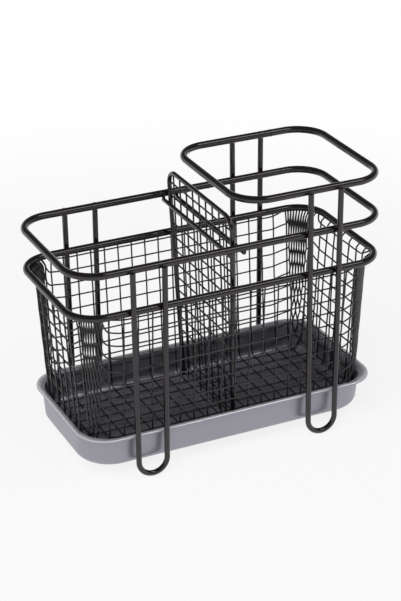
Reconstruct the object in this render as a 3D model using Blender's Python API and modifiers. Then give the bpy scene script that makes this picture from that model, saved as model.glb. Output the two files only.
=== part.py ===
# Cutlery drainer: a black wire rack with a net basket, a lift-out divider and a drip tray.
# X runs along its length with the tall half at +X, Y across it, Z up, in metres.
# The origin is at the middle of its footprint, on the surface that it stands on.

import math

import bmesh
import bpy
from mathutils import Vector

# Rails: three bent wire rings
RAIL_RADIUS = 0.0022
RAIL_HALF_LENGTH = 0.1000
RAIL_HALF_WIDTH = 0.0473
RAIL_CORNER_RADIUS = 0.0190
RIM_HEIGHT = 0.1076
GUARD_HEIGHT = 0.1339
TOP_HEIGHT = 0.1609
TOP_RAIL_LEFT = 0.0040
TOP_RAIL_INSET = 0.0010

# Legs: four wire hairpins, welded outside the rails
LEG_RADIUS = 0.0017
LEG_INSET = 0.0430
LEG_HALF_SPREAD_TOP = 0.0099
LEG_HALF_SPREAD_FOOT = 0.0091
LEG_OVERSHOOT = 0.0007

# Net basket
NET_WIRE = 0.0011
NET_PITCH = 0.0122
FLARE_HEIGHT = 0.0110
NET_END_STEP = 0.0026
NET_SIDE_STEP = 0.0005
NET_TOP_RADIUS = 0.0260
NET_END_INSET = 0.0101
NET_SIDE_INSET = 0.0055
NET_FLOOR_RADIUS = 0.0200
BASKET_FLOOR_HEIGHT = 0.0113

# Divider and the two bars that guide it
SLOT_X = 0.0010
GUIDE_RADIUS = 0.00135
GUIDE_SLOT = 0.0063
GUIDE_INSET = 0.0005
DIVIDER_RADIUS = 0.0014
DIVIDER_HEIGHT = 0.1505
DIVIDER_CORNER_RADIUS = 0.0090
DIVIDER_FOOT_HALF_WIDTH = 0.0353
DIVIDER_FOOT_STEP = 0.0022
DIVIDER_CLEARANCE = 0.0004

# Drip tray
TRAY_WALL = 0.0013
TRAY_X = -0.0008
TRAY_RIM_HEIGHT = 0.0280
TRAY_FLOOR_CLEARANCE = 0.0016
TRAY_SIDE_CLEARANCE = 0.0009
TRAY_GRIP_CLEARANCE = 0.0003
TRAY_FILLET = 0.0040
TRAY_END_DRAFT = 0.0006
TRAY_END_FLANGE = 0.0034
TRAY_SIDE_FLANGE = 0.0018
TRAY_FLANGE_RISE = 0.0006
TRAY_RIM_RADIUS = 0.0190

# Fits and facets
WELD_GAP = 0.0003
TUBE_SIDES = 8
CORNER_STEPS = 6
FOOT_STEPS = 9
FILLET_STEPS = 3
CORNER_NET_COLUMNS = 3

# What follows from those sizes
LEG_Y = RAIL_HALF_WIDTH + RAIL_RADIUS + WELD_GAP + LEG_RADIUS
LEG_LEFT_X = -RAIL_HALF_LENGTH + LEG_INSET
TOP_RAIL_RIGHT = RAIL_HALF_LENGTH - TOP_RAIL_INSET
LEG_RIGHT_X = TOP_RAIL_RIGHT - LEG_INSET
GUIDE_HEIGHT = GUARD_HEIGHT - RAIL_RADIUS - WELD_GAP - GUIDE_RADIUS
NET_TOP = RIM_HEIGHT - RAIL_RADIUS - WELD_GAP - NET_WIRE / 2
NET_SEAM = NET_WIRE + WELD_GAP
WALL_BOTTOM = BASKET_FLOOR_HEIGHT + NET_SEAM
DIVIDER_FOOT = BASKET_FLOOR_HEIGHT + NET_WIRE / 2 + WELD_GAP

RACK_BLACK = (0.012, 0.011, 0.013, 1.0)
NET_BLACK = (0.010, 0.010, 0.011, 1.0)
TRAY_GREY = (0.290, 0.280, 0.330, 1.0)


def clear_scene():
    for obj in list(bpy.data.objects):
        bpy.data.objects.remove(obj, do_unlink=True)


def make_collection(name):
    collection = bpy.data.collections.new(name)
    bpy.context.scene.collection.children.link(collection)
    return collection


def make_material(name, colour, roughness, metallic):
    material = bpy.data.materials.new(name)
    material.use_nodes = True
    shader = material.node_tree.nodes["Principled BSDF"]
    shader.inputs["Base Color"].default_value = colour
    shader.inputs["Roughness"].default_value = roughness
    shader.inputs["Metallic"].default_value = metallic
    return material


def spaced(start, end, steps):
    return [start + (end - start) * k / steps for k in range(steps + 1)]


def steps_for(length):
    return max(1, round(length / NET_PITCH))


def mix(a, b, t):
    return a + (b - a) * t


def rounded_outline(half_length, half_width, radius, steps=CORNER_STEPS):
    """Points of a rounded rectangle about the origin, anticlockwise from its +X side."""
    points = []
    for quarter, (sx, sy) in enumerate(((1, 1), (-1, 1), (-1, -1), (1, -1))):
        for angle in spaced(quarter * math.pi / 2, (quarter + 1) * math.pi / 2, steps):
            x = sx * (half_length - radius) + radius * math.cos(angle)
            y = sy * (half_width - radius) + radius * math.sin(angle)
            points.append((x, y))
    return points


def add_wire(name, points, radius, material, closed=False):
    """A round wire along the points: flat sides of its section touch the circle and face outwards."""
    curve = bpy.data.curves.new(name, "CURVE")
    curve.dimensions = "3D"
    curve.bevel_depth = radius / math.cos(math.pi / TUBE_SIDES)
    curve.bevel_resolution = TUBE_SIDES // 2 - 2
    curve.use_fill_caps = not closed
    spline = curve.splines.new("POLY")
    spline.points.add(len(points) - 1)
    for point, place in zip(spline.points, points):
        point.co = (*place, 1.0)
        point.tilt = math.pi / TUBE_SIDES
    spline.use_cyclic_u = closed
    curve.materials.append(material)
    obj = bpy.data.objects.new(name, curve)
    PARTS.objects.link(obj)
    return obj


def add_rail(name, left, right, height, material):
    """A closed wire ring at one height, between two X positions."""
    middle = (left + right) / 2
    outline = rounded_outline((right - left) / 2, RAIL_HALF_WIDTH, RAIL_CORNER_RADIUS)
    points = [(middle + x, y, height) for x, y in outline]
    return add_wire(name, points, RAIL_RADIUS, material, closed=True)


def add_leg(name, x, side, rail_height, material):
    """A hairpin of wire: two uprights that draw together a little, and a round foot."""
    half_step = math.cos(math.pi / 2 / FOOT_STEPS)
    centre_height = (LEG_RADIUS + LEG_HALF_SPREAD_FOOT) * half_step
    top = rail_height + LEG_OVERSHOOT
    y = side * LEG_Y
    points = [(x - LEG_HALF_SPREAD_TOP, y, top)]
    for angle in spaced(math.pi, 2 * math.pi, FOOT_STEPS):
        across = LEG_HALF_SPREAD_FOOT * math.cos(angle)
        points.append((x + across, y, centre_height + LEG_HALF_SPREAD_FOOT * math.sin(angle)))
    points.append((x + LEG_HALF_SPREAD_TOP, y, top))
    return add_wire(name, points, LEG_RADIUS, material)


def add_guide(name, side, material):
    x = SLOT_X + side * (GUIDE_SLOT / 2 + GUIDE_RADIUS)
    reach = RAIL_HALF_WIDTH - GUIDE_INSET
    return add_wire(name, [(x, -reach, GUIDE_HEIGHT), (x, reach, GUIDE_HEIGHT)], GUIDE_RADIUS, material)


def basket_outline(height):
    """Half length, half width and corner radius of the net basket at one height.

    The net flares out to the rim over its top stretch, and leans in evenly below that.
    """
    below = RIM_HEIGHT - height
    if below < FLARE_HEIGHT:
        t = below / FLARE_HEIGHT
        length_step = mix(0.0, NET_END_STEP, t)
        width_step = mix(0.0, NET_SIDE_STEP, t)
        radius = mix(RAIL_CORNER_RADIUS, NET_TOP_RADIUS, t)
    else:
        t = (below - FLARE_HEIGHT) / (RIM_HEIGHT - FLARE_HEIGHT - BASKET_FLOOR_HEIGHT)
        length_step = mix(NET_END_STEP, NET_END_INSET, t)
        width_step = mix(NET_SIDE_STEP, NET_SIDE_INSET, t)
        radius = mix(NET_TOP_RADIUS, NET_FLOOR_RADIUS, t)
    return RAIL_HALF_LENGTH - length_step, RAIL_HALF_WIDTH - width_step, radius


def add_net(name, rows, material):
    """A net: the edges of a sheet of cells, given as rows of points, made into wires."""
    mesh = bmesh.new()
    grid = [[mesh.verts.new(point) for point in row] for row in rows]
    for low, high in zip(grid, grid[1:]):
        for k in range(len(low) - 1):
            mesh.faces.new((low[k], low[k + 1], high[k + 1], high[k]))
    data = bpy.data.meshes.new(name)
    mesh.to_mesh(data)
    mesh.free()
    data.materials.append(material)
    obj = bpy.data.objects.new(name, data)
    PARTS.objects.link(obj)
    wires = obj.modifiers.new("wires", "WIREFRAME")
    wires.thickness = NET_WIRE
    wires.use_even_offset = True
    wires.use_boundary = True
    wires.use_replace = True
    return obj


def wall_heights():
    below_flare = RIM_HEIGHT - FLARE_HEIGHT
    return spaced(WALL_BOTTOM, below_flare, steps_for(below_flare - WALL_BOTTOM)) + [NET_TOP]


def column_counts(half_span):
    return steps_for(half_span + SLOT_X), steps_for(half_span - SLOT_X)


def column_places(half_span, counts):
    """Columns of the long walls and the floor, with one wire under the middle of the slot."""
    left = spaced(-half_span, SLOT_X, counts[0])
    return left + spaced(SLOT_X, half_span, counts[1])[1:]


def add_long_wall(name, side, material):
    counts = column_counts(RAIL_HALF_LENGTH - NET_TOP_RADIUS)
    rows = []
    for height in wall_heights():
        half_length, half_width, radius = basket_outline(height)
        span = half_length - radius - NET_SEAM / 2
        rows.append([(x, side * half_width, height) for x in column_places(span, counts)])
    return add_net(name, rows, material)


def add_end_wall(name, side, material):
    columns = steps_for(2 * (RAIL_HALF_WIDTH - NET_TOP_RADIUS))
    rows = []
    for height in wall_heights():
        half_length, half_width, radius = basket_outline(height)
        span = half_width - radius - NET_SEAM / 2
        rows.append([(side * half_length, y, height) for y in spaced(-span, span, columns)])
    return add_net(name, rows, material)


def add_corner_net(name, side_x, side_y, material):
    """The bent net between a long wall and an end wall."""
    rows = []
    for height in wall_heights():
        half_length, half_width, radius = basket_outline(height)
        seam_angle = NET_SEAM / 2 / radius
        row = []
        for angle in spaced(seam_angle, math.pi / 2 - seam_angle, CORNER_NET_COLUMNS):
            x = half_length - radius + radius * math.cos(angle)
            y = half_width - radius + radius * math.sin(angle)
            row.append((side_x * x, side_y * y, height))
        rows.append(row)
    return add_net(name, rows, material)


def inside_outline(x, y, half_length, half_width, radius):
    """The point itself, or the nearest point of the rounded outline if it lies outside."""
    corner = Vector((half_length - radius, half_width - radius))
    reach = Vector((abs(x), abs(y))) - corner
    if min(reach) <= 0 or reach.length <= radius:
        return x, y
    place = corner + reach.normalized() * radius
    return math.copysign(place.x, x), math.copysign(place.y, y)


def add_floor_net(name, material):
    half_length, half_width, radius = basket_outline(BASKET_FLOOR_HEIGHT)
    counts = column_counts(half_length)
    rows = []
    for y in spaced(-half_width, half_width, steps_for(2 * half_width)):
        row = []
        for x in column_places(half_length, counts):
            place = inside_outline(x, y, half_length, half_width, radius)
            row.append((*place, BASKET_FLOOR_HEIGHT))
        rows.append(row)
    return add_net(name, rows, material)


def divider_half_width(height):
    """Half width of the divider, at its wires' centre: it fits the rails above and narrows downwards."""
    top = RAIL_HALF_WIDTH - RAIL_RADIUS - DIVIDER_CLEARANCE - DIVIDER_RADIUS
    return mix(DIVIDER_FOOT_HALF_WIDTH, top, (height - DIVIDER_FOOT) / (DIVIDER_HEIGHT - DIVIDER_FOOT))


def divider_x(height):
    """X of the divider: it stands a little right of the slot's middle and leans on the left bar."""
    foot = SLOT_X + DIVIDER_FOOT_STEP
    rest = SLOT_X - GUIDE_SLOT / 2 + DIVIDER_CLEARANCE + DIVIDER_RADIUS
    return mix(foot, rest, (height - DIVIDER_FOOT) / (GUIDE_HEIGHT - DIVIDER_FOOT))


def add_divider_frame(name, material):
    half_width = divider_half_width(DIVIDER_HEIGHT)
    radius = DIVIDER_CORNER_RADIUS
    outline = [(-DIVIDER_FOOT_HALF_WIDTH, DIVIDER_FOOT)]
    for side, start in ((-1, math.pi), (1, math.pi / 2)):
        for angle in spaced(start, start - math.pi / 2, CORNER_STEPS):
            y = side * (half_width - radius) + radius * math.cos(angle)
            outline.append((y, DIVIDER_HEIGHT - radius + radius * math.sin(angle)))
    outline.append((DIVIDER_FOOT_HALF_WIDTH, DIVIDER_FOOT))
    points = [(divider_x(height), y, height) for y, height in outline]
    return add_wire(name, points, DIVIDER_RADIUS, material)


def add_divider_net(name, material):
    """The divider's net, inside its frame; the top corners are cut back to clear the bends."""
    reach = DIVIDER_RADIUS + NET_SEAM - NET_WIRE / 2
    bottom = DIVIDER_FOOT + NET_WIRE / 2
    top = DIVIDER_HEIGHT - reach
    radius = DIVIDER_CORNER_RADIUS - reach
    columns = steps_for(2 * divider_half_width(bottom))
    rows = []
    for height in spaced(bottom, top, steps_for(top - bottom)):
        span = divider_half_width(height) - reach
        row = []
        for y in spaced(-span, span, columns):
            across, up = inside_outline(y, height, span, top, radius)
            row.append((divider_x(up), across, up))
        rows.append(row)
    return add_net(name, rows, material)


def tray_rings():
    """Half length, half width, corner radius and height of each ring of the tray's outer skin."""
    floor_length, floor_width, floor_radius = basket_outline(BASKET_FLOOR_HEIGHT)
    margin = NET_WIRE / 2 + TRAY_SIDE_CLEARANCE + TRAY_WALL
    foot_length = floor_length + margin + abs(TRAY_X)
    foot_width = floor_width + margin
    foot_radius = floor_radius + margin
    bottom = BASKET_FLOOR_HEIGHT - NET_WIRE / 2 - TRAY_FLOOR_CLEARANCE - TRAY_WALL
    rim_width = LEG_Y - LEG_RADIUS - TRAY_GRIP_CLEARANCE
    wall_length = foot_length + TRAY_END_DRAFT
    wall_width = rim_width - TRAY_SIDE_FLANGE
    wall_top = TRAY_RIM_HEIGHT - TRAY_WALL - TRAY_FLANGE_RISE
    rings = []
    for angle in spaced(0.0, math.pi / 2, FILLET_STEPS):
        inset = TRAY_FILLET * (1 - math.sin(angle))
        height = bottom + TRAY_FILLET * (1 - math.cos(angle))
        rings.append((foot_length - inset, foot_width - inset, foot_radius - inset, height))
    rings.append((wall_length, wall_width, foot_radius, wall_top))
    rim_length = wall_length + TRAY_END_FLANGE
    rings.append((rim_length, rim_width, TRAY_RIM_RADIUS, TRAY_RIM_HEIGHT - TRAY_WALL))
    return rings


def add_tray(name, material):
    """The tray: a floor, a drafted wall and a flange, as one skin that is thickened inwards."""
    mesh = bmesh.new()
    loops = []
    for half_length, half_width, radius, height in tray_rings():
        outline = rounded_outline(half_length, half_width, radius)
        loops.append([mesh.verts.new((x, y, height)) for x, y in outline])
    mesh.faces.new(list(reversed(loops[0])))
    count = len(loops[0])
    for low, high in zip(loops, loops[1:]):
        for k in range(count):
            mesh.faces.new((low[k], low[(k + 1) % count], high[(k + 1) % count], high[k]))
    data = bpy.data.meshes.new(name)
    mesh.to_mesh(data)
    mesh.free()
    data.materials.append(material)
    data.shade_smooth()
    obj = bpy.data.objects.new(name, data)
    PARTS.objects.link(obj)
    obj.location.x = TRAY_X
    shell = obj.modifiers.new("wall", "SOLIDIFY")
    shell.thickness = TRAY_WALL
    shell.offset = -1.0
    shell.use_even_offset = True
    return obj


def build_rack():
    coating = make_material("rack_coating", RACK_BLACK, 0.38, 0.0)
    rails = (
        ("basket_rim", -RAIL_HALF_LENGTH, RAIL_HALF_LENGTH, RIM_HEIGHT),
        ("guard_rail", -RAIL_HALF_LENGTH, RAIL_HALF_LENGTH, GUARD_HEIGHT),
        ("top_rail", TOP_RAIL_LEFT, TOP_RAIL_RIGHT, TOP_HEIGHT),
    )
    for name, left, right, height in rails:
        add_rail(name, left, right, height, coating)
    for place, side in (("front", -1), ("rear", 1)):
        add_leg(place + "_left_leg", LEG_LEFT_X, side, GUARD_HEIGHT, coating)
        add_leg(place + "_right_leg", LEG_RIGHT_X, side, TOP_HEIGHT, coating)
    add_guide("left_guide_bar", -1, coating)
    add_guide("right_guide_bar", 1, coating)


def build_basket():
    coating = make_material("net_coating", NET_BLACK, 0.45, 0.0)
    add_floor_net("basket_floor_net", coating)
    for place, side in (("front", -1), ("rear", 1)):
        add_long_wall("basket_" + place + "_net", side, coating)
        add_corner_net("basket_" + place + "_left_corner_net", -1, side, coating)
        add_corner_net("basket_" + place + "_right_corner_net", 1, side, coating)
    add_end_wall("basket_left_net", -1, coating)
    add_end_wall("basket_right_net", 1, coating)


def build_divider():
    add_divider_frame("divider_frame", make_material("divider_coating", RACK_BLACK, 0.38, 0.0))
    add_divider_net("divider_net", make_material("divider_net_coating", NET_BLACK, 0.45, 0.0))


def build_tray():
    add_tray("drip_tray", make_material("tray_grey", TRAY_GREY, 0.35, 0.0))


clear_scene()
PARTS = make_collection("cutlery_drainer")
build_rack()
build_basket()
build_divider()
build_tray()
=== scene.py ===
import bpy
import numpy as np
from mathutils import Matrix, Vector


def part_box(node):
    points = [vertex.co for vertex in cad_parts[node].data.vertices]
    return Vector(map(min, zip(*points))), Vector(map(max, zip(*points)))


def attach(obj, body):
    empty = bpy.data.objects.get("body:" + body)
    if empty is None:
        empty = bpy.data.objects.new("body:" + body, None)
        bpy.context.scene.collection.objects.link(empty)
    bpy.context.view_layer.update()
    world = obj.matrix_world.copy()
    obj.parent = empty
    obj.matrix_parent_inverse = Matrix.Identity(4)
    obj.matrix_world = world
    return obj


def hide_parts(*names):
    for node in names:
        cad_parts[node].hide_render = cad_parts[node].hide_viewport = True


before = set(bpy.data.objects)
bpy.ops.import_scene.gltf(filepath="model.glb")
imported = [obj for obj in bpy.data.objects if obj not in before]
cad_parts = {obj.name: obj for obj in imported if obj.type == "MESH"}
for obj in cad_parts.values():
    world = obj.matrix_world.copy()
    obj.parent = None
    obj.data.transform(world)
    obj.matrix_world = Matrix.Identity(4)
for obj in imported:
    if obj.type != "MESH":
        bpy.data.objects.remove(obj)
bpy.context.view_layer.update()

# Cutlery drainer: the looks of a black wire rack, its net basket, its divider and its drip tray.
# X runs along its length with the tall half at +X, Y across it, Z up, in metres.


# materials: numbers and noise as Python expressions

class Signal:
    # one output socket; sums, differences and products of it add Math nodes
    def __init__(self, board, socket):
        self.board = board
        self.socket = socket

    def pair(self, operation, first, second):
        return self.board.add("ShaderNodeMath", {"operation": operation}, {0: first, 1: second})

    def __add__(self, other):
        return self.pair("ADD", self, other)

    def __sub__(self, other):
        return self.pair("SUBTRACT", self, other)

    def __rsub__(self, other):
        return self.pair("SUBTRACT", other, self)

    def __mul__(self, other):
        return self.pair("MULTIPLY", self, other)

    def larger(self, other):
        return self.pair("MAXIMUM", self, other)

    __radd__ = __add__
    __rmul__ = __mul__


class Board:
    # one material and its nodes
    def __init__(self, name):
        self.material = bpy.data.materials.new(name)
        self.material.use_nodes = True
        self.tree = self.material.node_tree
        self.shader = self.tree.nodes["Principled BSDF"]
        self.output = self.tree.nodes["Material Output"]

    def feed(self, socket, value):
        if isinstance(value, Signal):
            self.tree.links.new(value.socket, socket)
        else:
            socket.default_value = value

    def add(self, kind, settings=None, values=None, output=0):
        node = self.tree.nodes.new(kind)
        for key, value in (settings or {}).items():
            setattr(node, key, value)
        for key, value in (values or {}).items():
            self.feed(node.inputs[key], value)
        return Signal(self, node.outputs[output])

    def place(self):
        return self.add("ShaderNodeTexCoord", output="Object")

    def noise(self, place, scale, detail):
        return self.add("ShaderNodeTexNoise", None, {"Vector": place, "Scale": scale, "Detail": detail})

    def fade(self, value, low, high, atLow=0.0, atHigh=1.0):
        # a smooth step from atLow to atHigh while the value goes from low to high
        values = {"Value": value, "From Min": low, "From Max": high, "To Min": atLow, "To Max": atHigh}
        return self.add("ShaderNodeMapRange", {"interpolation_type": "SMOOTHSTEP"}, values)

    def blend(self, amount, low, high):
        return self.add("ShaderNodeMix", {"data_type": "RGBA"}, {0: amount, 6: low, 7: high}, output=2)

    def bump(self, height, distance, normal=None):
        values = {"Height": height, "Distance": distance, "Strength": 1.0}
        if normal:
            values["Normal"] = normal
        return self.add("ShaderNodeBump", None, values)

    def surface(self, **values):
        for key, value in values.items():
            self.feed(self.shader.inputs[key.replace("_", " ")], value)


def opaque(colour):
    return (*colour, 1.0)


coating = {
    "dark": (0.0052, 0.0038, 0.0050),
    "light": (0.0098, 0.0076, 0.0096),
    "cloudScale": 60.0,         # patches of tone and gloss, about 15 mm across
    "roughness": 0.10,
    "cloudRoughness": 0.08,
    "grainRoughness": 0.06,
    "grainScale": 1400.0,       # the skin of a powder coat, under 1 mm
    "grainHeight": 0.00003,
    "waveScale": 160.0,
    "waveHeight": 0.00006,
    "specular": 0.65,
    "tint": (1.0, 0.92, 0.97),
}


def coatedSteel(name, values):
    # black powder coat: cloudy tone and gloss, a fine grain and slow waves in the bump
    board = Board(name)
    place = board.place()
    cloud = board.noise(place, values["cloudScale"], 3.0)
    grain = board.noise(place, values["grainScale"], 2.0)
    waves = board.noise(place, values["waveScale"], 1.0)
    slow = board.bump(waves, values["waveHeight"])
    patches = (cloud - 0.5) * values["cloudRoughness"]
    board.surface(
        Base_Color=board.blend(cloud, opaque(values["dark"]), opaque(values["light"])),
        Roughness=patches + grain * values["grainRoughness"] + values["roughness"],
        Normal=board.bump(grain, values["grainHeight"], slow),
        Specular_IOR_Level=values["specular"],
        Specular_Tint=opaque(values["tint"]),
    )
    return board.material


netCoating = dict(coating, roughness=0.26, dark=(0.0060, 0.0052, 0.0062), light=(0.0105, 0.0092, 0.0108))

trayFinish = {
    "dark": (0.318, 0.308, 0.355),
    "light": (0.366, 0.354, 0.405),
    "paintedHighlight": (0.90, 0.89, 0.94),        # painted highlight: a near-white line painted along the top of the rim's bead, standing in for the glint of light on it
    "paintedHighlightDepths": (0.0006, 0.0002),    # under the rim, where this painted highlight begins and where it is full
    "cloudScale": 22.0,
    "cloudShare": 0.7,                  # the specks give the rest of the tone
    "roughness": 0.33,
    "cloudRoughness": 0.12,
    "speckRoughness": 0.05,
    "metallic": 0.74,
    "rimMetallic": 0.40,                # the flange and its bead look milkier than the walls
    "rimDepths": (0.0016, 0.0008),      # and where this begins and is full
    "speckScale": 2600.0,
    "speckHeight": 0.000012,
    "waveScale": 28.0,
    "waveHeight": 0.00020,
}


def trayPaint(name, values):
    # silver-grey moulding: faint flow clouds, fine specks and slow waves in the gloss, and a painted
    # highlight along the top of the rim's bead
    board = Board(name)
    place = board.place()
    cloud = board.noise(place, values["cloudScale"], 3.0)
    specks = board.noise(place, values["speckScale"], 1.0)
    waves = board.noise(place, values["waveScale"], 1.0)
    slow = board.bump(waves, values["waveHeight"])
    height = board.add("ShaderNodeSeparateXYZ", None, {0: place}, output="Z")
    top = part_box("drip_tray")[1][2]
    rimShare = board.fade(height, *(top - depth for depth in values["rimDepths"]))
    paintedHighlightShare = board.fade(height, *(top - depth for depth in values["paintedHighlightDepths"]))
    tone = cloud * values["cloudShare"] + specks * (1 - values["cloudShare"])
    body = board.blend(tone, opaque(values["dark"]), opaque(values["light"]))
    patches = (cloud - 0.5) * values["cloudRoughness"]
    board.surface(
        # the base colour turns near-white along the top of the bead: a painted highlight, not a colour of
        # the tray
        Base_Color=board.blend(paintedHighlightShare, body, opaque(values["paintedHighlight"])),
        Roughness=patches + specks * values["speckRoughness"] + values["roughness"],
        Metallic=values["metallic"] + rimShare * (values["rimMetallic"] - values["metallic"]),
        Normal=board.bump(specks, values["speckHeight"], slow),
    )
    return board.material


rackBlack = coatedSteel("satinBlackWire", coating)
netBlack = coatedSteel("satinBlackNet", netCoating)
traySilver = trayPaint("silverGreyTray", trayFinish)
print("materials made")


# meshes from whole arrays

def addMesh(name, points, faces, material):
    mesh = bpy.data.meshes.new(name)
    mesh.from_pydata(points.tolist(), [], faces)
    mesh.polygons.foreach_set("use_smooth", np.ones(len(mesh.polygons), dtype=bool))
    mesh.materials.append(material)
    mesh.update()
    piece = bpy.data.objects.new(name, mesh)
    bpy.context.scene.collection.objects.link(piece)
    return piece


def addPiece(name, points, faces, material, body):
    piece = addMesh(name, points, faces, material)
    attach(piece, body)
    return piece


def boxOf(node):
    low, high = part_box(node)
    return np.array(low), np.array(high)


def unit(vectors):
    return vectors / np.maximum(np.linalg.norm(vectors, axis=-1, keepdims=True), 1e-12)


def quarters(first, last, steps):
    # angles from one count of quarter turns to another
    return np.linspace(first, last, steps + 1) * np.pi / 2


def ringFaces(rings, sides, closed=False):
    # quads between neighbouring rings of points; an open run gets a flat face at each end
    low = np.arange(rings if closed else rings - 1)[:, None]
    side = np.arange(sides)[None]
    high, after = (low + 1) % rings, (side + 1) % sides
    low, high = low * sides, high * sides
    faces = np.stack([low + side, low + after, high + after, high + side], -1).reshape(-1, 4).tolist()
    if not closed:
        faces.append(list(range(sides))[::-1])
        faces.append(list(range((rings - 1) * sides, rings * sides)))
    return faces


def spokes(tangent, across, turn):
    # unit steps out of a path and square to it: cos turn * across + sin turn * (tangent x across)
    across = unit(across - tangent * (across * tangent).sum(-1, keepdims=True))
    other = np.cross(tangent, across)
    return np.cos(turn)[:, None] * across[..., None, :] + np.sin(turn)[:, None] * other[..., None, :]


def sweep(path, radius, across, sides, closed=False):
    # a tube: a ring of points round each point of the path, path + radius * spokes
    if closed:
        tangent = np.roll(path, -1, axis=0) - np.roll(path, 1, axis=0)
    else:
        tangent = np.gradient(path, axis=0)
    turn = 2 * np.pi * np.arange(sides) / sides
    radius = np.broadcast_to(radius, len(path))[:, None, None]
    rings = path[:, None] + radius * spokes(unit(tangent), np.broadcast_to(across, path.shape), turn)
    return rings.reshape(-1, 3), ringFaces(len(path), sides, closed)


def roundedEnds(path, radius, bevel):
    # the radius of each end falls by a quarter circle over the bevel's length
    turn = quarters(0, 1, 4)
    reach = bevel * (1 - np.cos(turn))
    narrow = radius - bevel * (1 - np.sin(turn))
    first, last = unit(path[1] - path[0]), unit(path[-2] - path[-1])
    start = path[0] + first * reach[:, None]
    end = (path[-1] + last * reach[:, None])[::-1]
    points = np.concatenate([start, path[1:-1], end])
    radii = np.concatenate([narrow, np.full(len(path) - 2, radius), narrow[::-1]])
    return points, radii


def roundedLoop(half, radius, steps):
    # a rounded rectangle anticlockwise from its +X side, as (x, y) rows: centre + radius * (cos, sin)
    # round each corner, and after it a straight that goes the way to the next corner's centre
    centres = np.array([(1, 1), (-1, 1), (-1, -1), (1, -1)]) * (half - radius)
    straights = np.roll(centres, -1, axis=0) - centres
    cornerSteps, straightSteps = steps
    t = (np.arange(1, straightSteps) / straightSteps)[:, None]
    rows = []
    for quarter in range(4):
        turn = quarters(quarter, quarter + 1, cornerSteps)
        arc = centres[quarter] + radius * np.stack([np.cos(turn), np.sin(turn)], -1)
        rows += [arc, arc[-1] + straights[quarter] * t]
    return np.concatenate(rows)


def joined(parts):
    # several (points, faces) made one
    points, faces, count = [], [], 0
    for somePoints, someFaces in parts:
        points.append(somePoints)
        faces += [[index + count for index in face] for face in someFaces]
        count += len(somePoints)
    return np.concatenate(points), faces


# camera

view = {
    "place": (-0.43394, -0.92224, 0.57430),
    "right": (0.895976, -0.444102, -0.000626),
    "up": (0.201095, 0.404451, 0.892177),
    "lens": 111.49,
    "sensor": 36.0,
    "shift": (-0.0583, 0.0536),
    "clip": (0.05, 50.0),
}


def addCamera(values):
    data = bpy.data.cameras.new("photoView")
    data.lens = values["lens"]
    data.sensor_width = values["sensor"]
    data.shift_x, data.shift_y = values["shift"]
    data.clip_start, data.clip_end = values["clip"]
    camera = bpy.data.objects.new("photoView", data)
    bpy.context.scene.collection.objects.link(camera)
    right, up = Vector(values["right"]), Vector(values["up"])
    turned = Matrix((right, up, right.cross(up))).transposed().to_4x4()
    camera.matrix_world = Matrix.Translation(values["place"]) @ turned
    bpy.context.scene.camera = camera


addCamera(view)


# rails: three welded wire rings

rail = {
    "cornerRadius": 0.0190,
    "loopSteps": (22, 6),   # of each corner and each straight
    "sides": 28,
    "seam": 0.00012,        # how far the butt weld of a ring stands proud
    "seamX": 0.018,         # it lies on the rear side, at the loop's point nearest to here
    "seamStep": 0.0008,
    "seamWidth": 0.0009,
}


def addRail(name, node, values):
    # a rounded rectangle swept with a circle; five close points stand in for the one at the butt weld,
    # and a bell of extra radius, seam * exp(-(distance / width)^2), marks it
    low, high = boxOf(node)
    radius = (high[2] - low[2]) / 2
    half = (high - low) / 2 - radius
    middle = (low + high) / 2
    loop = roundedLoop(half[:2], values["cornerRadius"], values["loopSteps"])
    index = int(np.argmin(np.linalg.norm(loop - [values["seamX"], half[1]], axis=-1)))
    weldPoints = loop[index] - np.linspace(-2, 2, 5)[:, None] * [values["seamStep"], 0]
    loop = np.concatenate([loop[:index], weldPoints, loop[index + 1:]])
    path = np.column_stack([loop + middle[:2], np.full(len(loop), middle[2])])
    distance = np.linalg.norm(loop - weldPoints[2], axis=-1)
    radii = radius + values["seam"] * np.exp(-(distance / values["seamWidth"]) ** 2)
    points, faces = sweep(path, radii, np.array([0.0, 0.0, 1.0]), values["sides"], closed=True)
    piece = addPiece(name, points, faces, rackBlack, "rack")
    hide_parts(node)


addRail("basketRim", "basket_rim", rail)
addRail("guardRail", "guard_rail", rail)
addRail("topRail", "top_rail", rail)
print("rails made")


# legs: wire hairpins

leg = {
    "sides": 24,
    "drawIn": 0.0008,       # how much closer each upright is at the foot than at the top
    "cutBevel": 0.0005,
    "topCut": 0.0005,       # the cut ends stand this much lower than the CAD's
    "straightSteps": 6,
    "bendSteps": 28,
}


def addLeg(name, node, values):
    # two straights that draw together and a half circle between them, swept with a circle
    low, high = boxOf(node)
    radius = (high[1] - low[1]) / 2
    middle = (low + high) / 2
    spreadTop = (high[0] - low[0]) / 2 - radius
    spreadFoot = spreadTop - values["drawIn"]
    turn = quarters(2, 4, values["bendSteps"])
    centre = radius + spreadFoot + low[2]
    bend = np.stack([spreadFoot * np.cos(turn), centre + spreadFoot * np.sin(turn)], -1)
    start = np.array([-spreadTop, high[2] - values["topCut"]])
    left = np.linspace(start, bend[0], values["straightSteps"] + 1)[:-1]
    profile = np.concatenate([left, bend, left[::-1] * [-1, 1]])
    path = np.column_stack([middle[0] + profile[:, 0], np.full(len(profile), middle[1]), profile[:, 1]])
    path, radii = roundedEnds(path, radius, values["cutBevel"])
    points, faces = sweep(path, radii, np.array([0.0, 1.0, 0.0]), values["sides"])
    piece = addPiece(name, points, faces, rackBlack, "rack")
    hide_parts(node)


for side in ("front", "rear"):
    for half in ("left", "right"):
        addLeg(side + half.capitalize() + "Leg", f"{side}_{half}_leg", leg)


# guide bars

guide = {"sides": 20, "steps": 8, "cutBevel": 0.0004}


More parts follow.
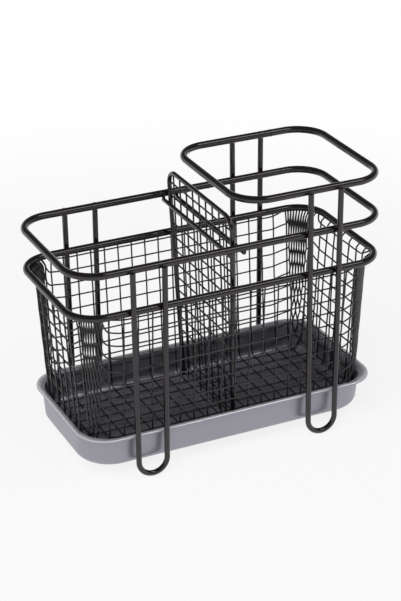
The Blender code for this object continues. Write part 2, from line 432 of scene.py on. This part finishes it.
def addGuide(name, node, values):
    # a straight line across the rack, swept with a circle
    low, high = boxOf(node)
    radius = (high[0] - low[0]) / 2
    path = np.tile((low + high) / 2, (values["steps"] + 1, 1))
    path[:, 1] = np.linspace(low[1], high[1], values["steps"] + 1)
    path, radii = roundedEnds(path, radius, values["cutBevel"])
    points, faces = sweep(path, radii, np.array([0.0, 0.0, 1.0]), values["sides"])
    piece = addPiece(name, points, faces, rackBlack, "rack")
    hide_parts(node)


addGuide("leftGuideBar", "left_guide_bar", guide)
addGuide("rightGuideBar", "right_guide_bar", guide)
print("legs and guide bars made")


# weld beads where the legs and guide bars meet the rails

weld = {
    "legSize": (0.0011, 0.0007, 0.0009),        # half sizes of a bead between a leg and a rail
    "barSize": (0.0011, 0.0016, 0.0008),        # and of one between a guide bar and the guard rail
    "barInset": 0.0028,         # from the guard rail's outer side in to the middle of the bars' beads
    "turns": 10,
    "rows": 7,
    "poleShare": 0.98,          # how much of the way to its poles the rows of a bead go
}


def bead(place, size, values):
    # an ellipsoid: place + size * (cos v cos u, cos v sin u, sin v), with a small face at each pole
    turns, rows = values["turns"], values["rows"]
    u = 2 * np.pi * np.arange(turns) / turns
    v = np.linspace(-1, 1, rows)[:, None] * values["poleShare"] * np.pi / 2
    ball = np.stack(np.broadcast_arrays(np.cos(v) * np.cos(u), np.cos(v) * np.sin(u), np.sin(v)), -1)
    points = np.array(place) + np.array(size) * ball
    return points.reshape(-1, 3), ringFaces(rows, turns)


def addWelds(values):
    # a bead where each upright of a leg passes a rail, and one at each end of the guide bars
    parts = []
    rails = [boxOf(node) for node in ("basket_rim", "guard_rail", "top_rail")]
    for sideName, side in (("front", -1), ("rear", 1)):
        for half in ("left", "right"):
            low, high = boxOf(f"{sideName}_{half}_leg")
            middleX, radius = (low[0] + high[0]) / 2, (high[1] - low[1]) / 2
            spread = (high[0] - low[0]) / 2 - radius
            for railLow, railHigh in rails:
                height = (railLow[2] + railHigh[2]) / 2
                if height > high[2]:                        # the left legs end under the top rail
                    continue
                y = (railHigh[1] + low[1]) / 2 if side > 0 else (railLow[1] + high[1]) / 2
                lean = leg["drawIn"] * (high[2] - height) / (high[2] - low[2])
                for x in (middleX - spread + lean, middleX + spread - lean):
                    parts.append(bead((x, y, height), values["legSize"], values))
    guardLow, guardHigh = boxOf("guard_rail")
    for node in ("left_guide_bar", "right_guide_bar"):
        low, high = boxOf(node)
        x, height = (low[0] + high[0]) / 2, (guardLow[2] + high[2]) / 2
        for side in (-1, 1):
            y = side * (guardHigh[1] - values["barInset"])
            parts.append(bead((x, y, height), values["barSize"], values))
    points, faces = joined(parts)
    addPiece("weldBeads", points, faces, rackBlack, "rack")


addWelds(weld)
print("weld beads made")


# net basket: one sheet of square net drawn to a tub

net = {
    "pitchLong": 0.00901,       # mesh size along the floor and up the ends
    "pitchFloor": 0.00915,      # across the floor
    "pitchAcross": 0.00887,     # up the front and rear
    "firstColumn": 0.0011,      # how far the middle column stands off the basket's middle
    "columns": 21,              # columns and rows to each side of the middle ones
    "rows": 16,
    "lastColumn": 9,            # the last ones that stay square at a corner
    "lastRow": 4,
    "columnIn": 0.0007,         # how far the right half's last columns stand nearer the middle up the wall
    "rowIn": 0.0016,            # the same of the last rows, and twice as far at the front left corner
    "secondShare": 0.75,        # how much of it the wires before the last have
    "columnRise": 0.0004,       # how much higher the level wires meet the last columns
    "rowRise": 0.0013,          # and the last rows
    "settle": 0.006,            # the length up a wall over which all this comes in
    "pressed": 0.0010,          # how much lower the level wires lie under the rim than an even mesh,
    "pressedFrom": 0.060,       # from this far up the wall,
    "pressedOver": 0.025,       # over this length,
    "pressedMost": 1.2,         # and at most this many times as much
    "filletGain": 0.43,         # an arc is 0.43 of its radius shorter than the corner that it cuts
    "corners": {                # by the signs of X and Y, for the levels of the closed corners:
        (-1, -1): (0.0040, 1.5, 1.0),       # how far one hangs lower, how many cells wider its first
        (-1, 1): (0.0026, 0.0, 0.55),       # cell is, and the power by which its cells spread
        (1, -1): (0.0040, 0.0, 1.0),
        (1, 1): (0.0064, 0.0, 1.0),
    },
    "sagPower": 8,              # even; the higher, the nearer to the walls a level hangs its full length
    "sagFade": 0.006,           # from this far under the rim the hanging fades out towards it
    "closedFrom": 0.45,         # cosine between the two wires at which a corner's squares begin to close
    "closedOver": 0.40,
    "pull": 1.1,                # how long the wires of a closed corner run side by side at a weld
    "keptWay": 0.55,            # how stiffly a level wire keeps its way past a wall's last wire
    "wire": 0.00103,
    "lift": 0.00034,            # each layer lies this far off the net's middle skin, sunk at its welds
    "sway": 0.00007,            # the little that a wire still waves from weld to weld
    "fillet": 0.0030,
    "rimCut": 0.0006,           # the wires end this far under the rim's middle
    "subSteps": 6,
    "sides": 6,
}

tub = {
    "rim": 0.1076,
    "flare": 0.0034,
    "floor": 0.0113,
    "halfLength": (0.1000, 0.0966, 0.0905),     # at the rim, under the flare, at the floor
    "halfWidth": (0.0473, 0.0468, 0.0418),
    "radius": (0.0190, 0.0250, 0.0175),
}


def tubOutline(height):
    # half length, half width and corner radius by height: one straight line over the flare, one below it
    below = tub["rim"] - height
    first = np.clip(below / tub["flare"], 0, 1)
    second = np.clip((below - tub["flare"]) / (tub["rim"] - tub["flare"] - tub["floor"]), 0, 1)
    stages = (tub[key] for key in ("halfLength", "halfWidth", "radius"))
    return [a + (b - a) * first + (c - b) * second for a, b, c in stages]


def tubDistance(points):
    # signed distance to the tub's skin and the way out of it: a rounded rectangle by height,
    # a floor, and a fillet of sqrt(u^2 + v^2) between them
    halfLength, halfWidth, radius = tubOutline(points[..., 2])
    reach = np.abs(points[..., :2]) - np.stack([halfLength - radius, halfWidth - radius], -1)
    outside = np.maximum(reach, 0)
    length = np.linalg.norm(outside, axis=-1)
    inCorner = length > 1e-9
    wall = np.where(inCorner, length, reach.max(-1)) - radius
    flat = np.stack([reach[..., 0] >= reach[..., 1], reach[..., 0] < reach[..., 1]], -1).astype(float)
    outward = np.where(inCorner[..., None], outside / np.maximum(length, 1e-9)[..., None], flat)
    outward = outward * np.where(points[..., :2] < 0, -1.0, 1.0)
    u, v = wall + net["fillet"], tub["floor"] - points[..., 2] + net["fillet"]
    both = (u > 0) & (v > 0)
    size = np.maximum(np.sqrt(u * u + v * v), 1e-9)
    distance = np.where(both, size, np.maximum(u, v)) - net["fillet"]
    wallShare = np.where(both, u / size, u >= v)
    floorShare = np.where(both, v / size, u < v)
    return distance, np.concatenate([outward * wallShare[..., None], -floorShare[..., None]], -1)


def onTub(points):
    # two steps back along the way out, each as long as the distance
    for _ in range(2):
        distance, normal = tubDistance(points)
        points = points - normal * distance[..., None]
    return points


def latticeOnTub():
    # crossing (a, b) lies a pitches along and b pitches across from the middle, measured over the
    # floor and up the walls; it is worked out in the quarter at +X +Y and gets its signs at the end
    a, b = np.arange(-net["columns"], net["columns"] + 1), np.arange(-net["rows"], net["rows"] + 1)
    rowsOnFloor = np.minimum(np.abs(b), net["lastRow"])
    rowsUpWall = np.abs(b) - rowsOnFloor
    x = net["firstColumn"] + net["pitchLong"] * a
    y = np.sign(b) * (rowsOnFloor * net["pitchFloor"] + rowsUpWall * net["pitchAcross"])
    alongX, acrossY = np.meshgrid(x, y, indexing="ij")
    signX, signY = np.where(alongX < 0, -1.0, 1.0), np.where(acrossY < 0, -1.0, 1.0)
    lastX = np.abs(net["firstColumn"] + signX * net["lastColumn"] * net["pitchLong"])
    lastY = net["lastRow"] * net["pitchFloor"]
    alongX, acrossY = np.abs(alongX), np.abs(acrossY)

    # over the floor, and how far past its edge each crossing is
    halfLength, halfWidth, radius = tubOutline(tub["floor"])
    coreX, coreY = halfLength - radius, halfWidth - radius
    pastX, pastY = np.maximum(alongX - lastX, 0), np.maximum(acrossY - lastY, 0)
    upEnd = pastX > 0                                       # the others go up the front or the rear
    startX, startY = np.minimum(alongX, lastX), np.minimum(acrossY, lastY)
    run = np.where(upEnd, pastX, pastY)
    overX, overY = np.clip(startX - coreX, 0, radius), np.clip(startY - coreY, 0, radius)
    edgeX = coreX + np.sqrt(radius ** 2 - overY ** 2) - startX
    edgeY = coreY + np.sqrt(radius ** 2 - overX ** 2) - startY
    past = np.maximum(run - np.where(upEnd, edgeX, edgeY), 0)
    onWall = past > 0

    # up a wall the last wires stand a little nearer the middle, and the level wires rise to them
    rank = np.where(upEnd, net["lastRow"] - np.abs(b)[None, :], net["lastColumn"] - np.abs(a)[:, None])
    settled = 1 - np.exp(-past / net["settle"])
    rowIn = net["rowIn"] * (1 + (signX + signY == -2))
    columnIn = net["columnIn"] * (signX > 0)
    drawnIn = np.where(upEnd, rowIn, columnIn) * ((rank == 0) + net["secondShare"] * (rank == 1)) * settled
    extraRise = np.where(upEnd, net["rowRise"], net["columnRise"]) / (1 + rank ** 2) * settled
    pressedShare = np.clip((past - net["pressedFrom"]) / net["pressedOver"], 0, net["pressedMost"])
    risen = past + net["filletGain"] * net["fillet"] + extraRise - net["pressed"] * pressedShare
    height = tub["floor"] + np.maximum(risen, 0) * onWall

    # along the wall's outline at that height, a straight and then the bend
    halfLength, halfWidth, radius = tubOutline(height)
    coreX, coreY = halfLength - radius, halfWidth - radius
    start = np.where(upEnd, startY, startX) - drawnIn
    core = np.where(upEnd, coreY, coreX)
    turn = np.maximum(start - core, 0) / radius
    acrossWall = np.minimum(start, core) + radius * np.sin(turn)
    outToWall = np.where(upEnd, coreX, coreY) + radius * np.cos(turn)
    x = np.where(onWall, np.where(upEnd, outToWall, acrossWall), startX + upEnd * run)
    y = np.where(onWall, np.where(upEnd, acrossWall, outToWall), startY + ~upEnd * run)
    return onTub(np.stack([signX * x, signY * y, height], -1))


def fillCorner(points, signX, signY):
    # in a corner the squares close up to narrow diamonds: the crossings of level i + j lie at one
    # height, and share the way round the bend from the front or rear wall to the end wall
    reach = net["rows"] - net["lastRow"]        # cells to the outermost row, and as many to the column
    steps = np.arange(1, reach + 1)
    i, j = np.meshgrid(steps, steps, indexing="ij")
    level = i + j
    top = np.minimum(level, reach)
    spare = (level - top) * net["pitchAcross"]
    column, row = net["columns"] + signX * net["lastColumn"], net["rows"] + signY * net["lastRow"]
    sidePoints, endPoints = points[column, row + signY * top], points[column + signX * top, row]
    sag, wider, power = net["corners"][signX, signY]
    share = i / level
    sideHeight, endHeight = sidePoints[..., 2] + spare, endPoints[..., 2] + spare
    height = sideHeight + (endHeight - sideHeight) * share
    sag = sag * (1 - (2 * share - 1) ** net["sagPower"])
    height = height - sag * np.clip((tub["rim"] - height) / net["sagFade"], 0, 1)
    halfLength, halfWidth, radius = tubOutline(height)
    coreX, coreY = halfLength - radius, halfWidth - radius
    pastX = (np.abs(sidePoints[..., 0]) - coreX) / radius
    pastY = (np.abs(endPoints[..., 1]) - coreY) / radius
    first = radius * np.where(pastX > 0, np.arcsin(np.clip(pastX, 0, 1)), pastX)
    last = radius * np.where(pastY > 0, np.arccos(np.clip(pastY, 0, 1)), np.pi / 2 - pastY)
    along = first + (last - first) * ((i + wider) / (level + wider)) ** power
    turn = np.clip(along / radius, 0, np.pi / 2)
    x = coreX + radius * np.sin(turn) + np.minimum(along, 0)
    y = coreY + radius * np.cos(turn) - np.maximum(along - radius * np.pi / 2, 0)
    points[column + signX * i, row + signY * j] = np.stack([signX * x, signY * y, height], -1)


def wireDirections(points):
    # tangents of both families: half the way between the neighbours; where a corner closes the squares
    # to narrow diamonds both turn to the way halfway between them, so that they cross in short slants
    acrossFamily, alongFamily = np.gradient(points, axis=1), np.gradient(points, axis=0)
    a, b = np.arange(-net["columns"], net["columns"] + 1), np.arange(-net["rows"], net["rows"] + 1)
    upX, upY = np.where(a < 0, -1.0, 1.0)[:, None, None], np.where(b < 0, -1.0, 1.0)[None, :, None]
    wallColumns, wallRows = np.abs(a) > net["lastColumn"], np.abs(b) > net["lastRow"]
    first, second = unit(acrossFamily) * upY, unit(alongFamily) * upX
    closed = (first * second).sum(-1, keepdims=True)
    share = np.clip((closed - net["closedFrom"]) / net["closedOver"], 0, 1)
    share = share * (wallColumns[:, None] & wallRows)[..., None]
    middle = unit(first + second) * net["pull"]
    acrossLength = np.linalg.norm(acrossFamily, axis=-1, keepdims=True)
    alongLength = np.linalg.norm(alongFamily, axis=-1, keepdims=True)
    acrossFamily = acrossFamily + (middle * upY * acrossLength - acrossFamily) * share
    alongFamily = alongFamily + (middle * upX * alongLength - alongFamily) * share
    # a wall's level wires keep their way as far as its last wire and turn up behind it
    for sign in (-1, 1):
        column, row = net["columns"] + sign * net["lastColumn"], net["rows"] + sign * net["lastRow"]
        lastAlong = points[column, wallRows] - points[column - sign, wallRows]
        lastAcross = points[wallColumns, row] - points[wallColumns, row - sign]
        alongFamily[column, wallRows] = lastAlong * sign * net["keptWay"]
        acrossFamily[wallColumns, row] = lastAcross * sign * net["keptWay"]
    return acrossFamily, alongFamily


def splined(points, tangents, steps):
    # Hermite curves along the second axis: each span cut into equal steps of its parameter
    p0, p1 = points[:, :-1, None], points[:, 1:, None]
    m0, m1 = tangents[:, :-1, None], tangents[:, 1:, None]
    t = (np.arange(steps) / steps)[None, None, :, None]
    curve = p0 * (2 * t ** 3 - 3 * t ** 2 + 1) + m0 * (t ** 3 - 2 * t ** 2 + t)
    curve = curve + p1 * (3 * t ** 2 - 2 * t ** 3) + m1 * (t ** 3 - t ** 2)
    return np.concatenate([curve.reshape(len(points), -1, 3), points[:, -1:]], 1)


def wireTubes(lines, normals, shown, radius, sides):
    # rings of one size round every shown point of every line; faces join neighbours that are both shown
    turn = 2 * np.pi * (np.arange(sides) + 0.5) / sides
    rings = lines[:, :, None] + radius * spokes(unit(np.gradient(lines, axis=1)), normals, turn)
    index = -np.ones(shown.shape, dtype=int)
    index[shown] = np.arange(shown.sum())
    side = np.arange(sides)
    after = (side + 1) % sides
    low, high = index[:, :-1], index[:, 1:]
    both = (low >= 0) & (high >= 0)
    low, high = low[both][:, None] * sides, high[both][:, None] * sides
    quads = np.stack([low + side, low + after, high + after, high + side], -1).reshape(-1, 4)
    padded = np.pad(shown, ((0, 0), (1, 1)))
    starts = index[shown & ~padded[:, :-2]][:, None] * sides + side[::-1]
    ends = index[shown & ~padded[:, 2:]][:, None] * sides + side
    return rings[shown].reshape(-1, 3), quads.tolist() + starts.tolist() + ends.tolist()


def clippedAtRim(lines, shown, top):
    # a wire that passes the rim ends on its middle line: the first hidden point moves back to that height
    for here, there in ((slice(None, -1), slice(1, None)), (slice(1, None), slice(None, -1))):
        inside, outside = lines[:, here], lines[:, there]
        leaving = shown[:, here] & ~shown[:, there] & (outside[..., 2] > top) & (inside[..., 2] < top)
        t = (top - inside[..., 2]) / np.maximum(outside[..., 2] - inside[..., 2], 1e-9)
        moved = inside + (outside - inside) * t[..., None]
        lines[:, there] = np.where(leaving[..., None], moved, outside)
        shown[:, there] |= leaving
    return lines, shown


def addBasketNet():
    # both families of wires are splines through the crossings; a point of a wire lies off the tub's
    # skin by layer * lift + sway * cos(pi * (which wire + which cell)), and the rim cuts them off
    points = latticeOnTub()
    for signX in (-1, 1):
        for signY in (-1, 1):
            fillCorner(points, signX, signY)
    steps, top = net["subSteps"], tub["rim"] - net["rimCut"]
    acrossFamily, alongFamily = wireDirections(points)
    turned = (1, 0, 2)
    families = ((points, acrossFamily, -1), (points.transpose(turned), alongFamily.transpose(turned), 1))
    parts = []
    for crossings, tangents, layer in families:
        lines = splined(crossings, tangents, steps)
        wires, cells = np.arange(lines.shape[0])[:, None], np.arange(lines.shape[1]) / steps
        distance, normals = tubDistance(lines)
        out = net["lift"] * layer + net["sway"] * np.cos(np.pi * (wires + cells))
        lines = lines - normals * (distance - out)[..., None]
        lines, shown = clippedAtRim(lines, lines[..., 2] < top, top)
        parts.append(wireTubes(lines, normals, shown, net["wire"] / 2, net["sides"]))
    allPoints, faces = joined(parts)
    piece = addPiece("basketNet", allPoints, faces, netBlack, "rack")
    nodes = ["floor", "front", "rear", "left", "right"]
    nodes += [f"{a}_{b}_corner" for a in ("front", "rear") for b in ("left", "right")]
    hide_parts(*[f"basket_{node}_net" for node in nodes])
    print("basket net made,", sum(len(face) - 2 for face in faces), "triangles")


addBasketNet()


# divider: a leaning frame and its net

divider = {
    "frameRadius": 0.0014,
    "frameSides": 24,
    "frameSteps": 8,
    "cornerRadius": 0.0090,
    "cornerSteps": 14,
    "footHalfWidth": 0.0353,
    "cutBevel": 0.0004,
    "wire": 0.00107,
    "wireSides": 10,
    "lift": 0.00034,            # cross wires on one side, upright wires on the other
    "pitch": 0.0090,
    "uprights": 4,              # to each side of the middle one
    "topGap": 0.0078,           # from the top bar down to the first cross wire
    "crossSteps": 10,
    "uprightSteps": 16,
}


def addDivider(values):
    # the frame as (y, z) rows: up the left side, round its bend, over the top and mirrored down,
    # laid on a leaning plane and swept with a circle; the net is straight wires on both sides of it
    low, high = boxOf("divider_frame")
    wireRadius, radius = values["frameRadius"], values["cornerRadius"]
    foot, top = low[2], high[2] - wireRadius
    footX, topX = high[0] - wireRadius, low[0] + wireRadius
    footHalf, topHalf = values["footHalfWidth"], (high[1] - low[1]) / 2 - wireRadius

    def leaned(flat):
        # (y, z) rows onto the divider's leaning plane
        t = (flat[:, 1] - foot) / (top - foot)
        return np.column_stack([footX + (topX - footX) * t, flat])

    turn = quarters(2, 1, values["cornerSteps"])
    bend = np.stack([radius - topHalf + radius * np.cos(turn), top - radius + radius * np.sin(turn)], -1)
    left = np.linspace((-footHalf, foot), bend[0], values["frameSteps"] + 1)[:-1]
    cross = np.linspace(bend[-1], bend[-1] * [-1, 1], values["frameSteps"] + 1)[1:-1]
    half = np.concatenate([left, bend])
    path = leaned(np.concatenate([half, cross, half[::-1] * [-1, 1]]))
    normal = unit(np.cross(path[-1] - path[0], path[len(path) // 2] - path[0]))
    path, radii = roundedEnds(path, wireRadius, values["cutBevel"])
    points, faces = sweep(path, radii, normal, values["frameSides"])
    piece = addPiece("dividerFrame", points, faces, rackBlack, "divider")
    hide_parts("divider_frame")

    def halfAt(z):
        # half the frame's width at a height: its taper, less what the bend takes
        taper = footHalf + (topHalf - footHalf) * (z - foot) / (top - foot)
        inBend = np.clip(z - (top - radius), 0, radius)
        return taper - radius + np.sqrt(radius ** 2 - inBend ** 2)

    def wireFrom(start, end, steps, side):
        # a straight wire between two (y, z) places, laid off the plane to one side
        line = leaned(np.linspace(start, end, steps + 1)) + normal * values["lift"] * side
        return sweep(line, values["wire"] / 2, normal, values["wireSides"])

    parts = []
    bottom = foot + values["wire"]
    for z in np.arange(top - values["topGap"], bottom, -values["pitch"]):
        parts.append(wireFrom((-halfAt(z), z), (halfAt(z), z), values["crossSteps"], 1))
    for y in np.arange(-values["uprights"], values["uprights"] + 1) * values["pitch"]:
        lowest = bottom
        if abs(y) > footHalf:                               # it starts on the leaning side of the frame
            lowest = foot + (top - foot) * (abs(y) - footHalf) / (topHalf - footHalf)
        parts.append(wireFrom((y, lowest), (y, top), values["uprightSteps"], -1))
    points, faces = joined(parts)
    piece = addPiece("dividerNet", points, faces, netBlack, "divider")
    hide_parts("divider_net")


addDivider(divider)
print("divider made")


# drip tray: one profile carried round a rounded rectangle

tray = {
    "wall": 0.0011,
    "fillet": 0.0050,
    "innerFillet": 0.0052,
    "wallFrom": 0.12,               # the first ring of a wall is this share up it
    "deeper": 0.0006,               # how far the foot hangs below the CAD tray's
    "footRadius": 0.0222,
    "cornerRoom": 0.0012,           # how much smaller the inner corners are, to clear the net
    "rimRadius": 0.0190,
    "footIn": (0.0036, 0.0042),     # from the rim in to the outer foot, at the ends and the sides
    "wallIn": (0.0030, 0.0030),     # and in to the top of the wall
    "bend": 0.0010,                 # small radius from the wall to the flange
    "innerBend": 0.0013,
    "sideBend": 0.6,                # how much of these two the long sides have
    "bead": 0.0008,
    "underIn": (0.00112, 0.00096),  # from the edge to where the flange's underside meets the bead
    "underDip": 0.0001,
    "topIn": (0.00152, 0.00120),    # and to where its top does
    "topDip": 0.00035,
    "ease": 0.0004,                 # how much the corner's radius differs beside a bend or the bead
    "rise": 0.0006,                 # from the flange's inner edge up to the top of the bead
    "rimShift": 0.0011,             # the flange is a little wider at the right end than at the left
    "loopSteps": (18, 8),           # of each corner and each straight
}


def trayProfile(values, bottom, rim):
    # rows of inset at the ends, inset at the sides, corner radius, height and shift: up the outer skin,
    # arcs of (1 - cos, 1 - sin) to the flange, round its bead and back over, and down the inner skin
    wall, bend, innerBend, sideBend = (values[key] for key in ("wall", "bend", "innerBend", "sideBend"))
    bead, ease, footRadius, rimRadius = (values[key] for key in ("bead", "ease", "footRadius", "rimRadius"))
    (footEnd, footSide), (wallEnd, wallSide) = values["footIn"], values["wallIn"]
    innerRadius = footRadius - wall - values["cornerRoom"]
    flange = rim - values["rise"]
    wallTop = flange - wall - bend

    def rows(endIn, sideIn, radius, height):
        return np.stack(np.broadcast_arrays(endIn, sideIn, radius, height), -1).reshape(-1, 4)

    def skin(thickness, fillet, radius, floor):
        # one side of the wall, up from its foot: a quarter circle and a straight
        turn, t = quarters(0, 1, 8), np.linspace(values["wallFrom"], 1, 6)
        inset, foot = fillet * (1 - np.sin(turn)), floor + fillet
        endIn, sideIn = footEnd + thickness, footSide + thickness
        endSlant, sideSlant = (wallEnd - footEnd) * t, (wallSide - footSide) * t
        return np.concatenate([
            rows(endIn + inset, sideIn + inset, radius - inset, foot - fillet * np.cos(turn)),
            rows(endIn + endSlant, sideIn + sideSlant, radius, foot + (wallTop - foot) * t),
        ])

    def overEdge(first, last, steps, size):
        # how far a bend of this size has gone out, and how far down it still is
        turn = quarters(first, last, steps)
        return size * (1 - np.cos(turn)), size * (1 - np.sin(turn))

    out, down = overEdge(0, 1, 4, bend)
    toFlange = rows(wallEnd - out, wallSide - out * sideBend, footRadius - ease, wallTop + bend - down)[1:]
    out, down = overEdge(-1, 1, 8, bead)
    roundBead = rows(out, out, rimRadius, rim - down)
    out, down = overEdge(1, 0, 5, innerBend)
    toInside = rows(wallEnd + wall - out, wallSide + wall - out * sideBend, innerRadius, flange - down)
    profile = np.concatenate([
        skin(0, values["fillet"], footRadius, bottom),
        toFlange,
        rows(*values["underIn"], rimRadius + ease, rim - wall - values["underDip"]),
        roundBead,
        rows(*values["topIn"], rimRadius - ease, rim - values["topDip"]),
        toInside,
        skin(wall, values["innerFillet"], innerRadius, bottom + wall)[::-1],
    ])
    shift = values["rimShift"] * np.clip((profile[:, 3] - wallTop) / (rim - wall - wallTop), 0, 1)
    return np.column_stack([profile, shift])


def addTray(values):
    # each row of the profile carried round a rounded rectangle, and closed over the foot and the floor
    low, high = boxOf("drip_tray")
    middle, half = (low + high) / 2, (high - low) / 2
    rings = []
    for endIn, sideIn, radius, height, shift in trayProfile(values, low[2] - values["deeper"], high[2]):
        loop = roundedLoop(half[:2] - [endIn, sideIn], radius, values["loopSteps"])
        rings.append(np.column_stack([loop + middle[:2] + [shift, 0], np.full(len(loop), height)]))
    faces = ringFaces(len(rings), len(rings[0]))
    piece = addPiece("dripTray", np.concatenate(rings), faces, traySilver, "tray")
    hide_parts("drip_tray")


addTray(tray)
print("drip tray made")


# cove, sky and light

studio = {
    "coveColour": (0.88, 0.88, 0.88),
    "coveRadii": (5.0, 1.0),    # of its flat floor and of the bend up to its wall
    "floorRings": (3.0, 1.0, 0.02),
    "coveHeight": 1.4,
    "coveSides": 96,
    "shadowShare": 0.17,        # how much of the cove's own shading shows near the drainer
    "shadowReach": (0.25, 0.60),        # metres from the middle: there it begins to fade, there it ends
    "skyLevel": 0.11,
    "target": (0, 0, 0.08),
    "key": {"place": (0.53, -0.60, 1.07), "size": (0.80, 0.36), "power": 3.4, "mirrored": True},
    "fill": {"place": (-1.4, -0.9, 2.0), "size": (2.4, 2.4), "power": 58.0, "mirrored": False},
}


def covePaint(values):
    # the camera and mirrors see plain white with a share of the cove's own shading near the middle;
    # what falls back on the drainer comes from its own shading alone
    board = Board("paleCove")
    board.surface(Base_Color=opaque(values["coveColour"]), Roughness=0.9, Specular_IOR_Level=0.1)
    white = board.add("ShaderNodeEmission", None, {"Color": (1.0, 1.0, 1.0, 1.0), "Strength": 1.0})
    away = board.add("ShaderNodeVectorMath", {"operation": "LENGTH"}, {0: board.place()}, output="Value")
    near = board.fade(away, *values["shadowReach"], values["shadowShare"], 0.0)
    rays = ("Is Camera Ray", "Is Glossy Ray", "Is Transmission Ray")
    seen, mirrored, through = (board.add("ShaderNodeLightPath", output=ray) for ray in rays)
    shown = seen.larger(mirrored).larger(through)
    own = Signal(board, board.shader.outputs[0])
    mixed = board.add("ShaderNodeMixShader", None, {0: shown * (1 - near), 1: own, 2: white})
    board.feed(board.output.inputs["Surface"], mixed)
    return board.material


def addCove(values):
    # a flat round floor whose edge turns up into a low wall: the profile (radius, height), from the
    # top of the wall in to the middle, carried round Z
    floor, bend = values["coveRadii"]
    turn = quarters(1, 0, 8)
    radius = np.concatenate([[floor + bend], floor + bend * np.sin(turn), values["floorRings"]])[:, None]
    flat = np.zeros(len(values["floorRings"]))
    height = np.concatenate([[values["coveHeight"]], bend * (1 - np.cos(turn)), flat])[:, None]
    angle = 2 * np.pi * np.arange(values["coveSides"]) / values["coveSides"]
    points = np.stack(np.broadcast_arrays(radius * np.cos(angle), radius * np.sin(angle), height), -1)
    faces = ringFaces(len(radius), values["coveSides"])
    del faces[-2]                                           # the face over the top of the wall
    cove = addMesh("cove", points.reshape(-1, 3), faces, covePaint(values))


def addSky(level):
    world = bpy.data.worlds.new("studioSky")
    world.use_nodes = True
    bpy.context.scene.world = world
    plain = world.node_tree.nodes["Background"]
    plain.inputs["Color"].default_value = (1.0, 1.0, 1.0, 1.0)
    plain.inputs["Strength"].default_value = level


def addSoftbox(name, target, values):
    data = bpy.data.lights.new(name, "AREA")
    data.shape = "RECTANGLE"
    data.size, data.size_y = values["size"]
    data.energy = values["power"]
    lamp = bpy.data.objects.new(name, data)
    bpy.context.scene.collection.objects.link(lamp)
    lamp.visible_glossy = values["mirrored"]
    lamp.location = values["place"]
    lamp.rotation_mode = "QUATERNION"
    lamp.rotation_quaternion = (Vector(values["place"]) - Vector(target)).to_track_quat("Z", "Y")


addCove(studio)
addSky(studio["skyLevel"])
addSoftbox("overheadSoftbox", studio["target"], studio["key"])
addSoftbox("wideFill", studio["target"], studio["fill"])

bpy.context.scene.view_settings.view_transform = "Standard"
print("studio made")
